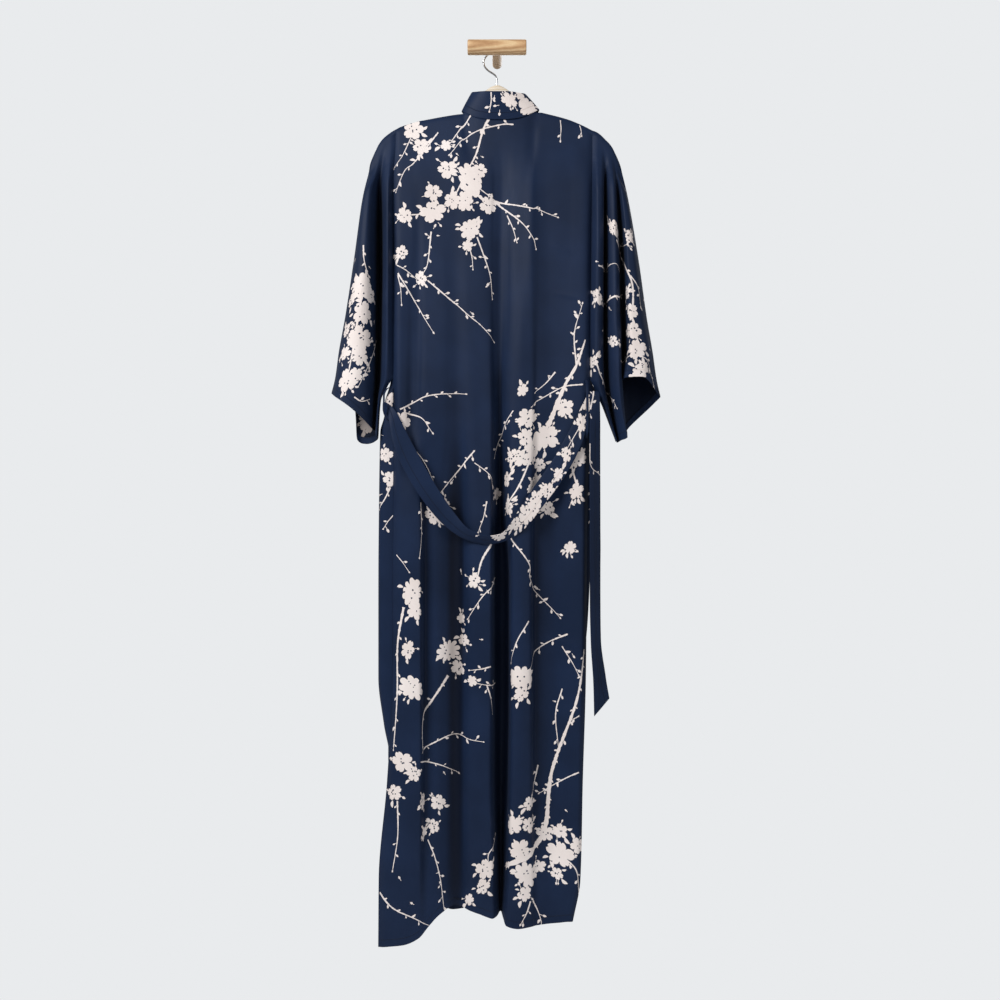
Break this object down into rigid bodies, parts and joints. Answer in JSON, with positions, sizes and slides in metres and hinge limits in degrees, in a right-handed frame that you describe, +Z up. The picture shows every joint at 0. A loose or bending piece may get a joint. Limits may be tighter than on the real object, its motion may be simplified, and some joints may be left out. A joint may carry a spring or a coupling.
{
  "type": "kimono robe on a hanger and wall peg",
  "caption": "Long satin kimono robe seen from behind, wide sleeves, neckband and tie belt in a swag, on a wooden hanger hooked over a round wooden wall peg",
  "frame": {"origin": "middle of the peg stem's face on the wall", "axes": "+X right as the robe's back is seen, +Y into the wall, +Z up"},
  "size_m": [0.5583, 0.1151, 1.5105],
  "materials": {
    "robe_satin": "printed polyester satin, dark navy",
    "belt_satin": "printed polyester satin, dark navy",
    "hanger_wood": "pale clear varnished beech",
    "steel_wire": "bright drawn steel wire",
    "peg_wood": "oiled beech, fine straight grain"
  },
  "bodies": {
    "root": {"back": "robe_satin", "front_left": "robe_satin", "front_right": "robe_satin", "sleeve_left": "robe_satin", "sleeve_right": "robe_satin", "collar": "robe_satin", "belt": "belt_satin", "belt_loop_left": "belt_satin", "belt_loop_right": "belt_satin", "hanger_body": "hanger_wood", "hanger_hook": "steel_wire", "peg_bar": "peg_wood", "peg_stem": "peg_wood"}
  },
  "joints": []
}
